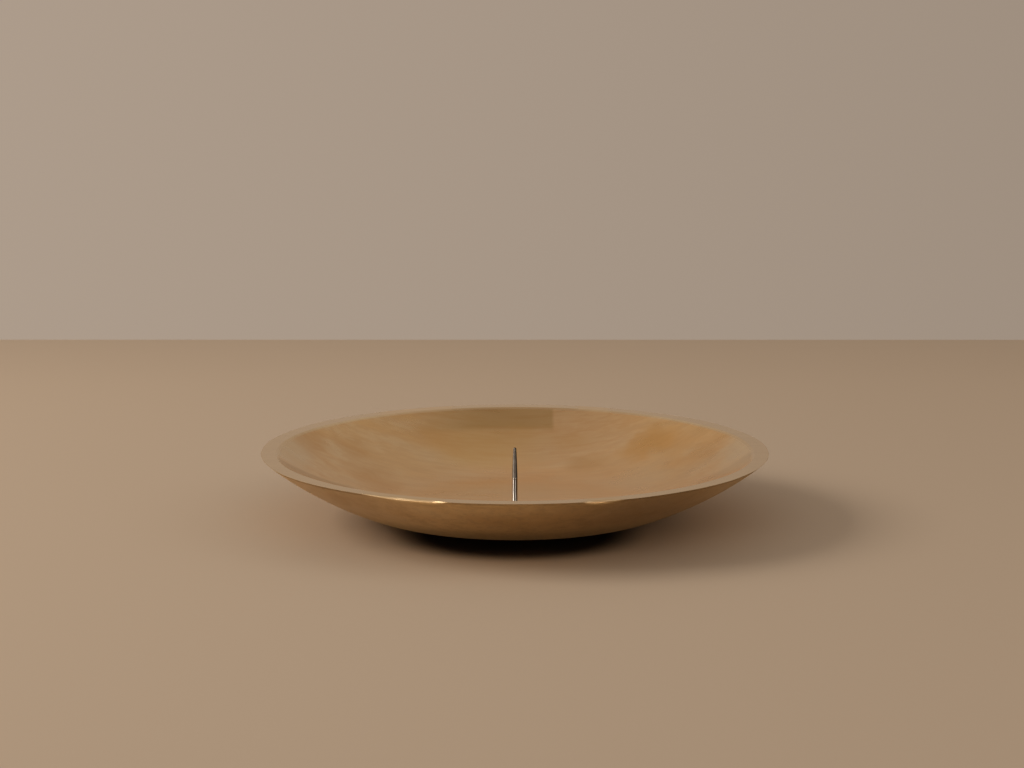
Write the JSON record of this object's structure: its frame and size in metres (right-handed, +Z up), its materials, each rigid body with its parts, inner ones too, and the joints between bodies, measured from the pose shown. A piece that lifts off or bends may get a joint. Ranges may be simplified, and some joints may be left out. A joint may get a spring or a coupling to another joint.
{
  "type": "pillar candle holder",
  "caption": "Shallow round brass dish with a flat ground rim and a steel spike at its centre, on a felt ring.",
  "frame": {"origin": "centre of the felt ring's lower face, on the dish's axis, at table height", "axes": "+Z up along the spike; the object is round about Z, so +X and -Y (the front) are free choices"},
  "size_m": [0.18, 0.18, 0.0253],
  "materials": {
    "brass": "satin, hand sanded, with a warm blotchy patina",
    "pin_steel": "polished turned stainless steel",
    "fixing_steel": "bright zinc-plated steel",
    "felt": "dense dark brown wool felt"
  },
  "bodies": {
    "root": {"dish": "brass", "spike": "pin_steel", "washer": "fixing_steel", "nut": "fixing_steel", "felt_ring": "felt"}
  },
  "joints": []
}
